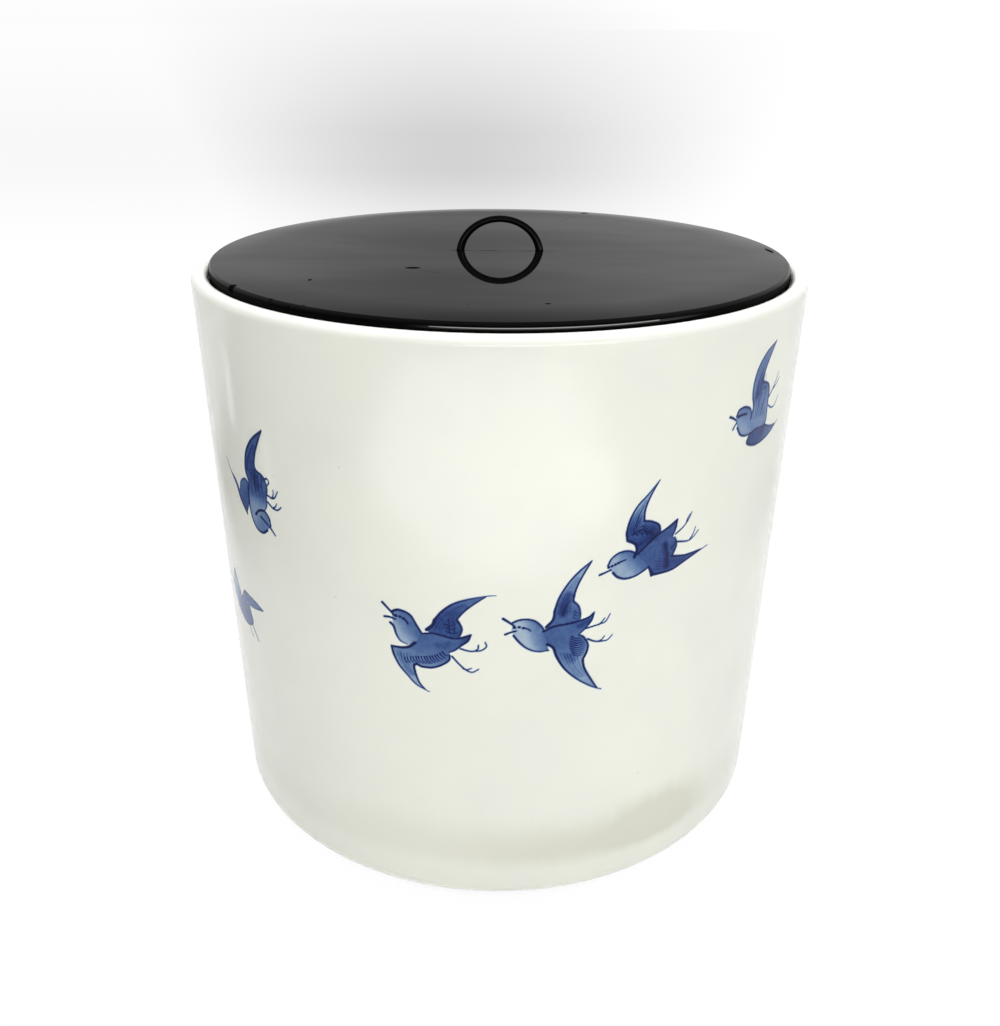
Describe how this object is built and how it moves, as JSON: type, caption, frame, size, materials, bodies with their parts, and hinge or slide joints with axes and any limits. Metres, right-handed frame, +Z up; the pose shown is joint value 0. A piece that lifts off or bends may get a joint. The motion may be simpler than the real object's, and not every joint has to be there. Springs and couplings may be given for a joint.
{
  "type": "lidded water jar",
  "caption": "Cylindrical white porcelain jar with a flat black lacquered lid that lies inside the lip and lifts off by a low arch.",
  "frame": {"origin": "middle of the jar's foot, on the plane that it stands on", "axes": "+Z up along the jar's axis, +X along the arch of the lid from one foot to the other, the pictured side faces -Y"},
  "size_m": [0.175, 0.175, 0.1837],
  "materials": {
    "porcelain": "clear glossy glaze over warm white porcelain, with birds painted in blue under it; the foot ring is bare",
    "black_lacquer": "polished black lacquer over wood, close to a mirror, with small dents and a hairline crack"
  },
  "bodies": {
    "jar": {"jar_body": "porcelain"},
    "lid": {"lid_board": "black_lacquer", "lid_handle": "black_lacquer"}
  },
  "joints": [
    {"name": "lid_lift", "type": "slide", "parent": "jar", "child": "lid", "axis": [0, 0, 1], "range_m": [0, 0.1]}
  ]
}
